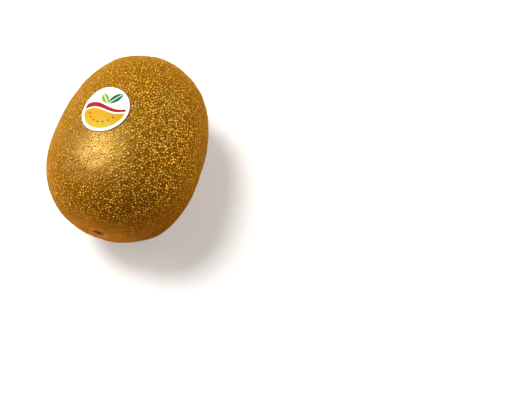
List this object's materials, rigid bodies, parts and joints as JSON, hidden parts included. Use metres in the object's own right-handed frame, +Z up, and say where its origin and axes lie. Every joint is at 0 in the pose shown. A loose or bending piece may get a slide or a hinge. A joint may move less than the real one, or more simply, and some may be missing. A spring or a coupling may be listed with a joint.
{
  "type": "golden kiwi fruit",
  "caption": "Whole golden kiwi fruit lying on its side, smooth bronze skin covered in fine corky spots, with a small round sticker.",
  "frame": {"origin": "on the surface that the fruit rests on, under the middle of its length and width", "axes": "+X along the fruit from its stem end to its blossom end, which lies 2 degrees lower, +Y across it, +Z up"},
  "size_m": [0.0722, 0.056, 0.0539],
  "materials": {
    "skin": "satin",
    "sticker_paper": "satin"
  },
  "bodies": {
    "root": {"fruit": "skin", "sticker": "sticker_paper"}
  },
  "joints": []
}
